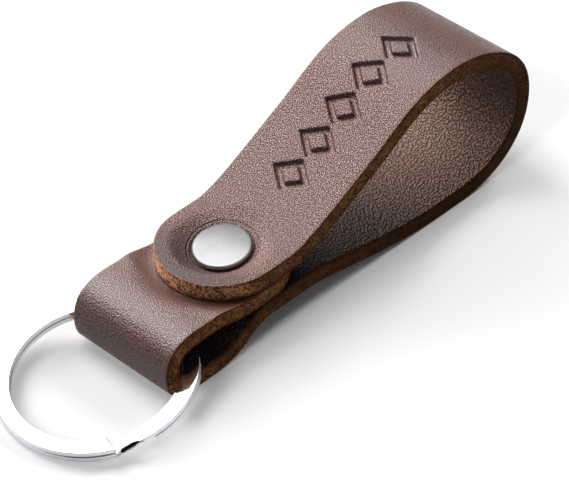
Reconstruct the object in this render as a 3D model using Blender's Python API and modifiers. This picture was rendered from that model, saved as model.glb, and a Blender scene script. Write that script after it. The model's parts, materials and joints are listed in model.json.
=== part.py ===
"""Leather keyring: one thick strap folded into a hand loop and a ring loop,
clamped by a two-piece rivet, with a split ring that swings in the ring loop.

Metres, +Z up, +X along the strap away from the split ring. The origin is the
middle of the footprint, on the surface that the keyring lies on. While it is
modelled, X = 0 is the rivet's axis; the last step moves it to the footprint.
"""

import math

import bmesh
import bpy
from mathutils import Vector
from mathutils.geometry import interpolate_bezier

MM = 0.001

# Strap: a stamped strip with two round ends, grain side out
strap_width = 20.0 * MM
strap_thickness = 2.8 * MM
ply_gap = 0.2 * MM
rivet_to_end = 10.5 * MM
seat_lift = 4.1 * MM

# Hand loop
loop_reach = 59.3 * MM
loop_height = 27.9 * MM

# Split ring: a flat strip wound twice
ring_side_room = 2.9 * MM
coil_width = 2.6 * MM
coil_thickness = 0.75 * MM
coil_gap = 0.3 * MM
coil_edge_round = 0.12 * MM
coil_end_angle = math.radians(-127.0)
ramp_angle = math.radians(20.0)

# Ring loop: the small fold that holds the split ring
ring_play = 1.85 * MM
ring_hang_gap = 0.5 * MM
ring_loop_room = 0.75 * MM

# Rivet: a cap with a hollow socket, and a base with a pin that fits it
cap_radius = 4.65 * MM
cap_thickness = 0.8 * MM
cap_edge_round = 0.3 * MM
cap_sink = 0.3 * MM
base_sink = 0.3 * MM
socket_radius = 1.9 * MM
socket_wall = 0.45 * MM

# Fits
seat_clearance = 0.3 * MM
socket_clearance = 0.3 * MM
dish_flare = 2.2 * MM
cut_overrun = 5.0 * MM

# Shares of the hand loop's reach and height, along the strap's middle line
rise_x_share, rise_z_share = 0.388, 0.70
crest_x_share = 0.707
nose_z_share = 0.48
belly_start_share, belly_end_share = 0.734, 0.658
seat_start_share = 0.135
rise_slope = math.radians(26.5)

# Shares of the ring loop's length behind the round end, and of its opening
foot_start_share = 0.12
foot_end_share = 0.545
fold_top_share = 0.41
fold_nose_share = 0.5
ring_height_share = 0.42

# Handles of the middle line's curves, as shares of the chord between knots
handle_share = 1 / 3
rise_leave_share, rise_arrive_share = 0.20, 0.28
crest_arrive_share, crest_leave_share = 0.48, 0.12
nose_arrive_share, nose_leave_share = 0.52, 0.48
belly_leave_share = 0.42
seat_arrive_share = 0.20
fold_leave_share, fold_arrive_share = 0.39, 0.62
fold_over_share, fold_top_arrive_share, fold_top_leave_share = 0.45, 0.49, 0.40

# Facet counts
round_end_steps = 7
strap_columns = 4
turn_steps = 72
ramp_steps = 8
rivet_steps = 48

# Sizes worked out from the ones above
half_thickness = strap_thickness / 2
end_radius = strap_width / 2
ply_pitch = strap_thickness + ply_gap
low_ply_z = seat_lift + half_thickness
mid_ply_z = low_ply_z + ply_pitch
top_ply_z = mid_ply_z + ply_pitch

ring_inner_radius = end_radius + ring_side_room
ring_outer_radius = ring_inner_radius + coil_width
ring_middle_radius = (ring_inner_radius + ring_outer_radius) / 2
ring_thickness = 2 * coil_thickness + coil_gap

fold_opening = ring_thickness + 2 * ring_play
fold_height = 2 * strap_thickness + fold_opening
ring_chord = math.sqrt(ring_inner_radius**2 - end_radius**2)
ring_pass_radius = (ring_chord + ring_outer_radius) / 2
ring_pass_z = strap_thickness + ring_height_share * fold_opening


def ring_lean():
    """Angle at which the ring touches the surface and runs through the fold at ring_pass_z."""
    arm = ring_outer_radius + ring_pass_radius
    half = ring_thickness / 2
    reach = math.hypot(arm, half)
    return math.asin(ring_pass_z / reach) - math.atan2(half, arm)


ring_tilt = ring_lean()
ring_pass_length = (ring_outer_radius - ring_chord) * math.cos(ring_tilt)
fold_depth = strap_thickness + ring_hang_gap + ring_pass_length + ring_loop_room
fold_reach = rivet_to_end + fold_depth
ring_centre_z = ring_outer_radius * math.sin(ring_tilt) + ring_thickness / 2 * math.cos(ring_tilt)
ring_centre_x = -fold_reach + strap_thickness + ring_hang_gap - ring_chord * math.cos(ring_tilt)
pivot_x = ring_centre_x + ring_pass_radius * math.cos(ring_tilt)
pivot_z = ring_centre_z + ring_pass_radius * math.sin(ring_tilt)

cap_top_z = top_ply_z + half_thickness - cap_sink
cap_under_z = cap_top_z - cap_thickness
base_under_z = seat_lift + base_sink - cap_thickness
base_top_z = base_under_z + cap_thickness
socket_end_z = base_top_z + socket_clearance
pin_radius = socket_radius - socket_wall - socket_clearance
pin_top_z = cap_under_z - socket_clearance


def clear_scene():
    for item in list(bpy.data.objects):
        bpy.data.objects.remove(item, do_unlink=True)


def new_collection(name):
    collection = bpy.data.collections.new(name)
    bpy.context.scene.collection.children.link(collection)
    return collection


def make_material(name, colour, roughness, metallic):
    material = bpy.data.materials.new(name)
    material.use_nodes = True
    shader = material.node_tree.nodes["Principled BSDF"]
    shader.inputs["Base Color"].default_value = (*colour, 1.0)
    shader.inputs["Roughness"].default_value = roughness
    shader.inputs["Metallic"].default_value = metallic
    material.diffuse_color = (*colour, 1.0)
    return material


def leather_material():
    return make_material("brown_leather", (0.165, 0.085, 0.072), 0.62, 0.0)


def chrome_material():
    return make_material("polished_chrome", (0.80, 0.80, 0.83), 0.12, 1.0)


def rivet_material():
    return make_material("satin_nickel", (0.78, 0.77, 0.78), 0.28, 1.0)


def add_object(name, mesh, material, collection):
    item = bpy.data.objects.new(name, mesh)
    collection.objects.link(item)
    if material:
        mesh.materials.append(material)
    return item


def smooth(item, angle):
    item.data.shade_smooth()
    item.data.set_sharp_from_angle(angle=angle)


def strap_knots():
    """The strap's middle line in the XZ plane, from the top ply's end to the middle ply's end.

    Each knot is x, z, heading, the handle shares before and after it, and the steps to the next.
    """
    crest_z = loop_height - half_thickness
    nose_x = loop_reach - half_thickness
    foot_x = -rivet_to_end - foot_start_share * fold_depth
    foot_end_x = -rivet_to_end - foot_end_share * fold_depth
    fold_top_x = -rivet_to_end - fold_top_share * fold_depth
    fold_nose_z = strap_thickness + fold_nose_share * fold_opening
    right, up, left, down = 0.0, math.pi / 2, math.pi, -math.pi / 2
    plain = handle_share
    return [
        (cap_radius, top_ply_z, right, plain, rise_leave_share, 8),
        (rise_x_share * loop_reach, rise_z_share * loop_height, rise_slope, rise_arrive_share, plain, 7),
        (crest_x_share * loop_reach, crest_z, right, crest_arrive_share, crest_leave_share, 16),
        (nose_x, nose_z_share * loop_height, down, nose_arrive_share, nose_leave_share, 13),
        (belly_start_share * loop_reach, half_thickness, left, plain, plain, 1),
        (belly_end_share * loop_reach, half_thickness, left, plain, belly_leave_share, 10),
        (seat_start_share * loop_reach, low_ply_z, left, seat_arrive_share, plain, 1),
        (-cap_radius, low_ply_z, left, plain, plain, 9),
        (foot_x, half_thickness, left, plain, plain, 1),
        (foot_end_x, half_thickness, left, plain, fold_leave_share, 9),
        (half_thickness - fold_reach, fold_nose_z, up, fold_arrive_share, fold_over_share, 9),
        (fold_top_x, fold_height - half_thickness, right, fold_top_arrive_share, fold_top_leave_share, 6),
        (-rivet_to_end, mid_ply_z, right, plain, plain, 0),
    ]


def round_end_shares():
    """Steps along a round end, as shares of its radius, closer together towards the tip."""
    quarter = math.pi / 2
    return [1 - math.cos(quarter * step / round_end_steps) for step in range(round_end_steps + 1)]


def middle_line():
    """Points of the strap's middle line, each with the strap's half width there."""
    line = []
    for share in round_end_shares():
        half_width = end_radius * math.sqrt(1 - (1 - share) ** 2)
        line.append((Vector((-rivet_to_end + share * end_radius, 0, top_ply_z)), half_width))
    knots = strap_knots()
    for before, after in zip(knots, knots[1:]):
        start = Vector((before[0], 0, before[1]))
        finish = Vector((after[0], 0, after[1]))
        chord = (finish - start).length
        leave = Vector((math.cos(before[2]), 0, math.sin(before[2]))) * chord * before[4]
        arrive = Vector((math.cos(after[2]), 0, math.sin(after[2]))) * chord * after[3]
        points = interpolate_bezier(start, start + leave, finish - arrive, finish, before[5] + 1)
        line += [(point, end_radius) for point in points[:-1]]
    line.append((Vector((-rivet_to_end, 0, mid_ply_z)), end_radius))
    for share in reversed(round_end_shares()):
        half_width = end_radius * math.sqrt(1 - (1 - share) ** 2)
        line.append((Vector((rivet_to_end - share * end_radius, 0, mid_ply_z)), half_width))
    return line


def wrap_grid(name, rows, columns, place):
    """A grid primitive whose rows and columns are laid on a surface by place(row, across)."""
    mesh = bpy.data.meshes.new(name)
    grid = bmesh.new()
    bmesh.ops.create_grid(grid, x_segments=rows - 1, y_segments=columns, size=1)
    for vertex in grid.verts:
        row = round((vertex.co.x + 1) / 2 * (rows - 1))
        vertex.co = place(row, vertex.co.y)
    bmesh.ops.remove_doubles(grid, verts=grid.verts, dist=ply_gap / 4)
    bmesh.ops.recalc_face_normals(grid, faces=grid.faces)
    grid.to_mesh(mesh)
    grid.free()
    return mesh


def thicken(item, thickness):
    solid = item.modifiers.new("thickness", "SOLIDIFY")
    solid.thickness = thickness
    solid.offset = 0
    solid.use_even_offset = True
    solid.use_quality_normals = True


def turned(name, profile, material, collection):
    """A profile of (radius, z) pairs, top to bottom, turned about Z."""
    mesh = bpy.data.meshes.new(name)
    outline = bmesh.new()
    corners = [outline.verts.new((radius, 0, z)) for radius, z in profile]
    for first, second in zip(corners, corners[1:]):
        outline.edges.new((first, second))
    outline.to_mesh(mesh)
    outline.free()
    item = add_object(name, mesh, material, collection)
    screw = item.modifiers.new("turn", "SCREW")
    screw.steps = rivet_steps
    screw.render_steps = rivet_steps
    screw.use_merge_vertices = True
    screw.merge_threshold = coil_edge_round / 10
    screw.use_smooth_shade = True
    return item


def cut(item, cutter, name):
    boolean = item.modifiers.new(name, "BOOLEAN")
    boolean.operation = "DIFFERENCE"
    boolean.solver = "EXACT"
    boolean.object = cutter


def hide_cutter(cutter):
    cutter.hide_render = True
    cutter.display_type = "WIRE"


def make_strap(parts, cutters):
    line = middle_line()

    def place(row, across):
        point, half_width = line[row]
        return point + Vector((0, across * half_width, 0))

    mesh = wrap_grid("leather_strap", len(line), strap_columns, place)
    strap = add_object("leather_strap", mesh, leather_material(), parts)
    thicken(strap, strap_thickness)

    hole_radius = socket_radius + seat_clearance
    dish_radius = cap_radius + seat_clearance
    low_z = seat_lift - cut_overrun
    high_z = top_ply_z + cut_overrun
    hole = turned("rivet_hole_cutter", [(0, high_z), (hole_radius, high_z), (hole_radius, low_z), (0, low_z)],
                  None, cutters)

    leather_top_z = top_ply_z + half_thickness
    top_floor_z = cap_under_z - seat_clearance
    top_dish = turned("cap_dish_cutter", [
        (0, high_z),
        (dish_radius + dish_flare, high_z),
        (dish_radius + dish_flare, leather_top_z),
        (dish_radius, top_floor_z),
        (0, top_floor_z),
    ], None, cutters)

    low_floor_z = base_top_z + seat_clearance
    low_dish = turned("base_dish_cutter", [
        (0, low_floor_z),
        (dish_radius, low_floor_z),
        (dish_radius, low_z),
        (0, low_z),
    ], None, cutters)

    for cutter, name in ((hole, "rivet hole"), (top_dish, "cap dish"), (low_dish, "base dish")):
        cut(strap, cutter, name)
        hide_cutter(cutter)
    return strap


def rounded_corner(radius, z, size, up, steps=3):
    """Points of a disc's rounded rim between its face and its side, from the face outwards."""
    centre_r = radius - size
    centre_z = z - size if up else z + size
    points = []
    for step in range(steps + 1):
        angle = math.pi / 2 * step / steps
        rise = size * math.cos(angle)
        points.append((centre_r + size * math.sin(angle), centre_z + rise if up else centre_z - rise))
    return points if up else points[::-1]


def make_rivet(parts):
    """The cap's socket goes down through the three plies and takes the base's pin."""
    nickel = rivet_material()
    bore_radius = socket_radius - socket_wall
    cap_profile = [(0, cap_top_z)]
    cap_profile += rounded_corner(cap_radius, cap_top_z, cap_edge_round, up=True)
    cap_profile += [
        (cap_radius, cap_under_z),
        (socket_radius, cap_under_z),
        (socket_radius, socket_end_z),
        (bore_radius, socket_end_z),
        (bore_radius, cap_under_z),
        (0, cap_under_z),
    ]
    cap = turned("rivet_cap", cap_profile, nickel, parts)

    base_profile = [(0, pin_top_z), (pin_radius, pin_top_z), (pin_radius, base_top_z)]
    base_profile += [(cap_radius, base_top_z)]
    base_profile += rounded_corner(cap_radius, base_under_z, cap_edge_round, up=False)
    base_profile += [(0, base_under_z)]
    base = turned("rivet_base", base_profile, nickel, parts)
    return cap, base


def coil_path():
    """Angle and height of the split ring's strip: the upper coil, the ramp, then the lower coil."""
    layer = (coil_thickness + coil_gap) / 2
    sweep = 2 * math.pi - ramp_angle
    path = []
    for step in range(turn_steps + 1):
        path.append((coil_end_angle - sweep * step / turn_steps, layer))
    ramp_start = coil_end_angle - sweep
    for step in range(1, ramp_steps + 1):
        share = step / ramp_steps
        ease = share * share * (3 - 2 * share)
        path.append((ramp_start - ramp_angle * share, layer * (1 - 2 * ease)))
    lower_start = ramp_start - ramp_angle
    for step in range(1, turn_steps + 1):
        path.append((lower_start - sweep * step / turn_steps, -layer))
    return path


def make_split_ring(parts):
    path = coil_path()

    def place(row, across):
        angle, height = path[row]
        radius = ring_middle_radius + across * coil_width / 2
        return Vector((radius * math.cos(angle), radius * math.sin(angle), height))

    mesh = wrap_grid("split_ring", len(path), 1, place)
    ring = add_object("split_ring", mesh, chrome_material(), parts)
    thicken(ring, coil_thickness)
    edges = ring.modifiers.new("rounded edges", "BEVEL")
    edges.width = coil_edge_round
    edges.segments = 1
    edges.limit_method = "ANGLE"
    edges.angle_limit = math.radians(60)
    smooth(ring, math.radians(50))
    return ring


def hang_ring(ring, root):
    """The ring's parent empty is on its swing axis, which runs across the strap inside the fold."""
    pivot = bpy.data.objects.new("ring_swing_axis", None)
    bpy.context.scene.collection.objects.link(pivot)
    pivot.parent = root
    pivot.location = (pivot_x, 0, pivot_z)
    pivot.rotation_euler = (0, -ring_tilt, 0)
    ring.parent = pivot
    ring.location = (-ring_pass_radius, 0, 0)


def centre_on_footprint(root, parts):
    """Moves the whole keyring so that its bounding box stands centred on the origin."""
    bpy.context.view_layer.update()
    graph = bpy.context.evaluated_depsgraph_get()
    corners = []
    for item in parts.objects:
        evaluated = item.evaluated_get(graph)
        mesh = evaluated.to_mesh()
        corners += [item.matrix_world @ vertex.co for vertex in mesh.vertices]
        evaluated.to_mesh_clear()
    low = [min(corner[axis] for corner in corners) for axis in range(3)]
    high = [max(corner[axis] for corner in corners) for axis in range(3)]
    root.location = (-(low[0] + high[0]) / 2, -(low[1] + high[1]) / 2, 0)
    bpy.context.view_layer.update()
    size = [(high[axis] - low[axis]) / MM for axis in range(3)]
    print("size mm:", ["%.2f" % length for length in size], "lowest mm: %.4f" % (low[2] / MM))
    print("rivet axis x mm: %.4f" % (root.location.x / MM))
    print("swing axis x, z mm: %.4f %.4f" % ((root.location.x + pivot_x) / MM, pivot_z / MM))
    print("belly flat x mm: %.4f to %.4f" % tuple(
        (root.location.x + share * loop_reach) / MM for share in (belly_end_share, belly_start_share)))
    print("ring lean deg: %.3f, outer diameter mm: %.2f" % (
        math.degrees(ring_tilt), 2 * ring_outer_radius / MM))


def main():
    clear_scene()
    parts = new_collection("leather_keyring")
    cutters = new_collection("cutters")
    root = bpy.data.objects.new("keyring_origin", None)
    bpy.context.scene.collection.objects.link(root)

    strap = make_strap(parts, cutters)
    cap, base = make_rivet(parts)
    for item in (strap, cap, base, *cutters.objects):
        item.parent = root
    hang_ring(make_split_ring(parts), root)
    centre_on_footprint(root, parts)


main()
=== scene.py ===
"""Leather keyring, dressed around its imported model.

A folded strap with a row of pressed lozenges, the cap and base of its rivet, and a
split ring wound from flat wire. It is laid out as an add-on with one operator for
each piece and one for the studio, and it is run as a script.
"""

import json
import math

import bmesh
import bpy
import numpy as np
from bpy.props import FloatProperty, FloatVectorProperty, IntProperty, PointerProperty
from mathutils import Matrix, Vector, noise
from mathutils.geometry import interpolate_bezier


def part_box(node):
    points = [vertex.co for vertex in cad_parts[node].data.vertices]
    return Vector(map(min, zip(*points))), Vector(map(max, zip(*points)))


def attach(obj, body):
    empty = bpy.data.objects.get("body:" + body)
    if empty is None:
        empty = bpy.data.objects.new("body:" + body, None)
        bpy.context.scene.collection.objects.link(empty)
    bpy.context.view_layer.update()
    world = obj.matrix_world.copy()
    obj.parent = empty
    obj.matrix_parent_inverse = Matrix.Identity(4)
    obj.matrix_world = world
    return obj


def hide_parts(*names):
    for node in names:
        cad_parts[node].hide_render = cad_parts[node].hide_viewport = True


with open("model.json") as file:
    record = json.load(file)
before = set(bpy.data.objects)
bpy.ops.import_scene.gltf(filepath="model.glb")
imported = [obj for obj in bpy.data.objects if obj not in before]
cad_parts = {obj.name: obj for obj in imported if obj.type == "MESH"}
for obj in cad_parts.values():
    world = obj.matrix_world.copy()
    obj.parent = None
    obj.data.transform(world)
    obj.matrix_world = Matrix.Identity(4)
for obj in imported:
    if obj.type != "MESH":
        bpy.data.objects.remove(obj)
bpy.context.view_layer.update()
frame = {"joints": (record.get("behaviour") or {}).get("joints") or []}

bl_info = {
    "name": "Leather Keyring",
    "version": (1, 0, 0),
    "blender": (4, 5, 0),
    "location": "View3D > Sidebar > Keyring",
    "description": "Builds a folded leather strap, its rivet and its split ring on a packed model",
    "category": "Object",
}

MM = 0.001

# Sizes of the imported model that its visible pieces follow
cap_low, cap_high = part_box("rivet_cap")
base_low, base_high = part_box("rivet_base")
rivet_x = (cap_low.x + cap_high.x) / 2
cap_radius = (cap_high.x - cap_low.x) / 2
swing_axis_at = frame["joints"][0]["pos_m"]

strap_width, strap_thickness = 20.0 * MM, 2.8 * MM
end_radius, half_thickness = strap_width / 2, strap_thickness / 2
rivet_to_end = 10.5 * MM
loop_reach, loop_height = 59.3 * MM, 27.9 * MM
low_ply_z, mid_ply_z, top_ply_z = 5.5 * MM, 8.5 * MM, 11.5 * MM
fold_depth, fold_height, fold_nose_z = 11.3 * MM, 11.1 * MM, 5.55 * MM

ring_inner_radius, ring_outer_radius = 12.9 * MM, 15.5 * MM
ring_width = ring_outer_radius - ring_inner_radius
ring_pass_radius = 11.825 * MM
ring_tilt = math.radians(8.886)

merge_distance = 0.0005 * MM
floor_gap = 0.02 * MM


# Settings that a user would change

def number(name, description, default, **more):
    return FloatProperty(name=name, description=description, default=default, **more)


def length(name, description, millimetres):
    return number(name, description, millimetres * MM, precision=5, unit="LENGTH",
                  subtype="DISTANCE")


def turn(name, description, degrees):
    return number(name, description, math.radians(degrees), subtype="ANGLE")


def share(name, description, default, **limits):
    return number(name, description, default, subtype="FACTOR", **limits)


def power(name, description, default):
    return number(name, description, default, unit="POWER")


def colour(name, description, default):
    return FloatVectorProperty(name=name, description=description, default=default,
                               subtype="COLOR", size=3, min=0.0, max=1.0)


class StrapSettings(bpy.types.PropertyGroup):
    corner_round: length("Corner Round", "Radius of the strap's cut corners", 0.24)
    flesh_swell: length("Flesh Swell", "How far the flesh side stands past the solid", 0.09)
    top_swell: length("Top Ply Swell", "The same under the top ply's round end", 0.16)
    fine_step: length("Fine Step", "Face length along the top strand", 0.16)
    plain_step: length("Plain Step", "Face length along the rest of the strap", 0.55)
    cap_stand: length("Cap Stand", "How far the cap's side stands out of the leather", 0.62)
    groove_depth: length("Groove Depth", "Depth of the groove right beside the cap", 0.42)
    dish_radius: length("Dish Radius", "Where the pressed dish begins", 8.4)
    tool_mark_radius: length("Tool Mark Radius", "Circle pressed by the setting tool", 5.55)
    tool_mark_depth: length("Tool Mark Depth", "Depth of that circle", 0.14)
    lozenge_count: IntProperty(name="Lozenges", description="Pressed lozenges in the row",
                               default=5, min=1)
    lozenge_first: length("First Lozenge", "Length from the tip to the first lozenge", 27.0)
    lozenge_pitch: length("Lozenge Pitch", "Length between lozenges", 6.6)
    lozenge_half_length: length("Lozenge Half Length", "Half of it along the strap", 3.15)
    lozenge_half_width: length("Lozenge Half Width", "Half of it across the strap", 4.0)
    lozenge_depth: length("Lozenge Depth", "Depth of the pressing", 0.70)
    lozenge_island: share("Lozenge Island", "Share of a lozenge left raised inside", 0.48,
                          min=0.0, max=0.9)
    grain_colour: colour("Grain Side", "Dyed grain side", (0.150, 0.046, 0.030))
    flesh_colour: colour("Flesh Side", "Dyed flesh side", (0.150, 0.080, 0.056))
    cut_colour: colour("Cut Edge", "Undyed fibres on the cut edge", (0.34, 0.150, 0.062))


class RivetSettings(bpy.types.PropertyGroup):
    rim_round: length("Rim Round", "Radius of the disc's rim", 0.34)
    cap_lean: turn("Cap Lean", "The cap's side towards the hand loop is raised", 7.2)
    cap_sink: length("Cap Sink", "How far the cap is pressed below the packed one", 0.2)
    dome: length("Dome", "Rise of the disc's middle", 0.14)
    disc_thickness: length("Disc Thickness", "Thickness of cap and base at the rim", 0.8)
    socket_radius: length("Socket Radius", "Outer radius of the cap's socket", 1.9)
    socket_wall: length("Socket Wall", "Wall of the cap's socket", 0.45)
    pin_radius: length("Pin Radius", "Radius of the base's pin", 1.15)
    metal_colour: colour("Nickel", "Satin nickel", (0.41, 0.405, 0.415))


class RingSettings(bpy.types.PropertyGroup):
    coil_width: length("Coil Width", "Width of the flat wire", ring_width / MM)
    coil_thickness: length("Coil Thickness", "Thickness of the flat wire", 0.81)
    coil_gap: length("Coil Gap", "Gap between the coils", 0.18)
    edge_round: length("Edge Round", "Radius of the wire's edges", 0.15)
    end_round: length("End Round", "Radius of the wire's two ends", 0.16)
    coil_end: turn("Coil End", "Where the upper coil ends", -126.2)
    overlap: turn("Overlap", "Turn by which the lower coil stops short of the ramp", 6.0)
    ramp_bevel: length("Ramp Bevel", "Drop of the ramp's outer edge, left by a tool", 0.50)
    ramp_bevel_width: length("Ramp Bevel Width", "Width of that slope", 0.62)
    tip_slant: turn("Tip Slant", "Slant of the upper coil's cut end", 4.5)
    ramp: turn("Ramp", "Turn over which the wire goes down a coil", 20.0)
    metal_colour: colour("Chrome", "Polished chrome", (0.95, 0.955, 1.0))


class StudioSettings(bpy.types.PropertyGroup):
    floor_colour: colour("Floor", "Pale studio floor", (0.90, 0.90, 0.90))
    key_power: power("Key Light", "Power of the soft light behind, on leather", 22.4)
    wide_power: power("Wide Light", "Power of the wide light overhead, on metal", 5.3)
    floor_power: power("Floor Light", "Power of the four lights on the floor", 12.4)
    room_light: share("Room Light", "Strength of the even light all round", 0.12)
    wall_foot: share("Wall Foot", "How light the foot of the walls looks in metal", 0.06)
    wall_light: share("Wall Light", "The same above the foot of the walls", 0.45)
    camera_distance: length("Camera Distance", "From the lens to the keyring", 468.9)
    lens: number("Lens", "Focal length for a 36 mm wide picture", 194.0, unit="CAMERA")


# Nodes, for materials and for Geometry Nodes

class Nodes:
    """A node tree with short ways to add to it."""

    def __init__(self, tree):
        self.tree = tree

    def fill(self, sockets, values):
        """Gives each socket its value, or a link from another node's output."""
        for key, value in values.items():
            if isinstance(value, bpy.types.NodeSocket):
                self.tree.links.new(value, sockets[key])
            else:
                sockets[key].default_value = value

    def add(self, kind, inputs=None, **settings):
        """A new node with its settings and inputs. What comes back is its outputs."""
        node = self.tree.nodes.new(kind)
        for name, value in settings.items():
            setattr(node, name, value)
        self.fill(node.inputs, inputs or {})
        return node.outputs

    def calc(self, operation, *values):
        return self.add("ShaderNodeMath", dict(enumerate(values)), operation=operation)[0]

    def plus(self, *values):
        return self.calc("ADD", *values)

    def minus(self, *values):
        return self.calc("SUBTRACT", *values)

    def times(self, *values):
        return self.calc("MULTIPLY", *values)

    def over(self, *values):
        return self.calc("DIVIDE", *values)

    def vector(self, operation, *values, out="Vector"):
        inputs = dict(enumerate(values))
        return self.add("ShaderNodeVectorMath", inputs, operation=operation)[out]

    def scaled(self, vector, scale):
        inputs = {0: vector, "Scale": scale}
        return self.add("ShaderNodeVectorMath", inputs, operation="SCALE")["Vector"]

    def parts(self, vector):
        return self.add("ShaderNodeSeparateXYZ", {0: vector})

    def joined(self, x, y, z):
        return self.add("ShaderNodeCombineXYZ", {"X": x, "Y": y, "Z": z})["Vector"]

    def drawn_out(self, place, stretch):
        """The place for a pattern that is longer along X."""
        return self.vector("MULTIPLY", place, self.joined(self.over(1.0, stretch), 1.0, 1.0))

    def remap(self, value, low, high, new_low=0.0, new_high=1.0):
        return self.add("ShaderNodeMapRange", {
            "Value": value, "From Min": low, "From Max": high, "To Min": new_low,
            "To Max": new_high}, interpolation_type="SMOOTHSTEP")["Result"]

    def mix(self, factor, first, second, blend="MIX"):
        return self.add("ShaderNodeMix", {0: factor, 6: first, 7: second}, data_type="RGBA",
                        blend_type=blend)[2]

    def noise(self, place, scale, detail=2.0, roughness=0.5, out="Fac"):
        return self.add("ShaderNodeTexNoise", {
            "Vector": place, "Scale": scale, "Detail": detail, "Roughness": roughness})[out]

    def bump(self, height, distance, strength=1.0, **under):
        return self.add("ShaderNodeBump", {
            "Height": height, "Distance": distance, "Strength": strength, **under})["Normal"]

    def use(self, group, inputs):
        return self.add("ShaderNodeGroup", inputs, node_tree=group)

    def stored(self, name, out="Fac"):
        """What the piece's mesh stores under this name."""
        return self.add("ShaderNodeAttribute", attribute_type="GEOMETRY",
                        attribute_name=name)[out]

    def tone_along(self, along, stops, whole=210.0):
        """A grey multiplier along the strap, from pairs of a length in millimetres and a tone."""
        strongest = max(tone for place, tone in stops)
        node = self.tree.nodes.new("ShaderNodeValToRGB")
        self.fill(node.inputs, {"Fac": self.over(along, whole)})
        elements = node.color_ramp.elements
        while len(elements) < len(stops):
            elements.new(0.5)
        for element, (place, tone) in zip(elements, stops):
            element.position = place / whole
            element.color = (*[tone / strongest] * 3, 1.0)
        return self.scaled(node.outputs["Color"], strongest)


def new_group(name, wire, inputs, kind="ShaderNodeTree"):
    """A node group from a function that wires its inputs to its outputs.

    Each input has its default, or the kind of a socket that has none.
    """
    kinds = {float: "Float", int: "Int", tuple: "Color", bpy.types.Material: "Material",
             "VALUE": "Float", "RGBA": "Color", "GEOMETRY": "Geometry"}
    tree = bpy.data.node_groups.new(name, kind)

    def new_socket(title, way, kind):
        return tree.interface.new_socket(name=title, in_out=way, socket_type="NodeSocket" + kind)

    for title, default in inputs.items():
        if isinstance(default, str):
            new_socket(title, "INPUT", default)
        else:
            new_socket(title, "INPUT", kinds[type(default)]).default_value = default
    nodes = Nodes(tree)
    results = wire(nodes, tree.nodes.new("NodeGroupInput").outputs)
    for title, result in results.items():
        new_socket(title, "OUTPUT", kinds[result.type])
    nodes.fill(tree.nodes.new("NodeGroupOutput").inputs, results)
    return tree


def shared_group(name, inputs):
    """Makes a function that wires an effect into one that returns its group, built once."""
    def wrap(wire):
        return lambda: bpy.data.node_groups.get(name) or new_group(name, wire, inputs)
    return wrap


# Shared effects

@shared_group("leather_pebbles", {
    "Place": "Vector", "Pebble Size": 0.4, "Slant": 0.0, "Stretch": 1.0, "Wander": 0.5})
def pebble_group(nodes, given):
    """Leather pebbles: rounded cells with creases between them, on a place in millimetres."""
    sized = nodes.scaled(given["Place"], nodes.over(1.0, given["Pebble Size"]))
    turned = nodes.add("ShaderNodeVectorRotate", {"Vector": sized, "Angle": given["Slant"]},
                       rotation_type="Z_AXIS")["Vector"]
    laid = nodes.drawn_out(turned, given["Stretch"])
    drift = nodes.noise(laid, 0.55, 2.0, out="Color")
    shifted = nodes.vector("SUBTRACT", drift, (0.5, 0.5, 0.5))
    moved = nodes.vector("ADD", laid, nodes.scaled(shifted, given["Wander"]))
    cells = nodes.add("ShaderNodeTexVoronoi", {
        "Vector": moved, "Scale": 1.0, "Randomness": 1.0, "Smoothness": 0.35,
    }, feature="SMOOTH_F1", voronoi_dimensions="2D")
    height = nodes.remap(cells["Distance"], 0.60, 0.15)
    return {"Height": height, "Crease": nodes.remap(height, 0.0, 0.5, 1.0, 0.0),
            "Top": nodes.remap(height, 0.5, 1.0)}


@shared_group("uneven_dye", {
    "Place": "Vector", "Dark": (0.05, 0.03, 0.02, 1.0), "Light": (0.15, 0.09, 0.07, 1.0),
    "Cloud Size": 9.0, "Fleck Size": 0.8})
def dye_group(nodes, given):
    """Dye that took unevenly: broad clouds and small flecks from a dark to a light colour."""
    clouds = nodes.noise(given["Place"], nodes.over(1.0, given["Cloud Size"]), 3.0)
    flecks = nodes.noise(given["Place"], nodes.over(1.0, given["Fleck Size"]), 3.0, 0.6)
    both = nodes.plus(nodes.times(clouds, 0.6), nodes.times(flecks, 0.4))
    dyed = nodes.mix(nodes.remap(both, 0.32, 0.68), given["Dark"], given["Light"])
    return {"Color": dyed, "Cloud": clouds}


@shared_group("cut_fibres", {"Place": "Vector", "Fibre Size": 0.25, "Draw": 1.6})
def fibre_group(nodes, given):
    """Cut fibre ends: tight tufts with dark pits between them, drawn out along the strap."""
    laid = nodes.drawn_out(given["Place"], given["Draw"])
    sized = nodes.scaled(laid, nodes.over(1.0, given["Fibre Size"]))
    tufts = nodes.add("ShaderNodeTexVoronoi", {"Vector": sized, "Scale": 1.0, "Randomness": 1.0},
                      feature="F1")
    tip = nodes.parts(tufts["Color"])["X"]
    threads = nodes.noise(sized, 0.9, 3.0, 0.7)
    broad = nodes.noise(laid, 1.4, 2.0)
    round_tip = nodes.minus(0.9, tufts["Distance"])
    mixed = nodes.plus(nodes.times(tip, 0.45), nodes.times(threads, 0.45))
    patchy = nodes.plus(mixed, nodes.times(broad, 0.22))
    return {"Height": nodes.plus(nodes.times(threads, 0.6), nodes.times(round_tip, 0.6)),
            "Pits": nodes.remap(patchy, 0.36, 0.68)}


@shared_group("metal_finish", {"Place": "Vector", "Cloud Scale": 300.0, "Hair Scale": 2500.0})
def metal_group(nodes, given):
    """A metal's finish: soft clouds in the polish and fine hairline scratches."""
    stretched = nodes.vector("MULTIPLY", given["Place"], (0.12, 1.0, 1.0))
    return {"Cloud": nodes.noise(given["Place"], given["Cloud Scale"], 3.0),
            "Hair": nodes.noise(stretched, given["Hair Scale"], 2.0, 0.7)}


# Materials

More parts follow.
